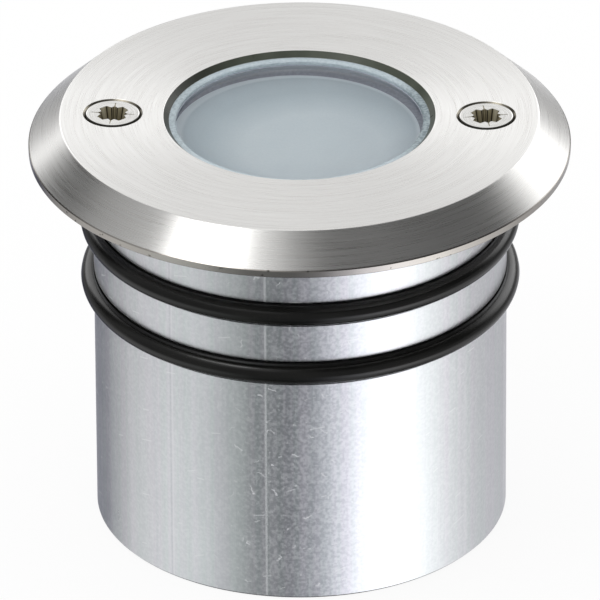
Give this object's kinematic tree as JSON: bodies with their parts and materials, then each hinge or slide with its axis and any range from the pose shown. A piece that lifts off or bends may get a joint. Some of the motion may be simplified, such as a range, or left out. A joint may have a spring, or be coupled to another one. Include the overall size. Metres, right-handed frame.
{
  "type": "in-ground well light",
  "caption": "Round recessed well light: bevelled screw-down cover with frosted glass, thick tube with rubber grip rings, sealed light engine, driver and cable gland.",
  "frame": {"origin": "centre of the tube's flat lower end, on which the light stands", "axes": "+Z along the tube's axis, up to the cover; X through the two cover screws"},
  "size_m": [0.075, 0.075, 0.0607],
  "materials": {
    "tube_aluminium": "drawn",
    "cover_steel": "brushed",
    "screw_steel": "satin",
    "spring_steel": "satin",
    "carrier_aluminium": "turned",
    "glass": "clear above, frosted below",
    "pale_silicone": "satin",
    "dark_silicone": "satin",
    "black_rubber": "satin",
    "white_plastic": "gloss",
    "white_board": "gloss",
    "emitter": "gloss",
    "thermal_pad": "matt",
    "green_board": "gloss",
    "brass": "turned",
    "black_plastic": "matt",
    "capacitor_sleeve": "gloss",
    "terminal_plastic": "satin",
    "lead_insulation": "gloss"
  },
  "bodies": {
    "housing": {"body_tube": "tube_aluminium", "lens_glass": "glass", "lower_glass_gasket": "dark_silicone", "led_carrier": "carrier_aluminium", "carrier_seal": "black_rubber", "reflector": "white_plastic", "led_board": "white_board", "led_emitters": "emitter", "thermal_pad": "thermal_pad", "led_board_screws": "screw_steel", "driver_board": "green_board", "driver_spacers": "brass", "driver_screws": "screw_steel", "driver_inductor": "black_plastic", "driver_capacitors": "capacitor_sleeve", "driver_chips": "black_plastic", "terminal_block": "terminal_plastic", "terminal_screws": "screw_steel", "led_leads": "lead_insulation", "upper_grip_ring": "black_rubber", "lower_grip_ring": "black_rubber", "base_plug": "carrier_aluminium", "plug_seal": "black_rubber", "retaining_ring": "spring_steel", "gland_washer": "black_rubber", "gland_body": "black_plastic", "gland_seal": "black_rubber", "gland_nut": "black_plastic"},
    "cover": {"cover_ring": "cover_steel", "upper_glass_gasket": "pale_silicone"},
    "left_screw": {"left_cover_screw": "screw_steel"},
    "right_screw": {"right_cover_screw": "screw_steel"}
  },
  "joints": [
    {"name": "cover_lift", "type": "slide", "parent": "housing", "child": "cover", "axis": [0, 0, 1], "range_m": [0, 0.015]},
    {"name": "left_screw_turn", "type": "hinge", "parent": "cover", "child": "left_screw", "pos_m": [-0.0258, 0, 0.058], "axis": [0, 0, 1], "continuous": true},
    {"name": "right_screw_turn", "type": "hinge", "parent": "cover", "child": "right_screw", "pos_m": [0.0258, 0, 0.058], "axis": [0, 0, 1], "continuous": true}
  ]
}
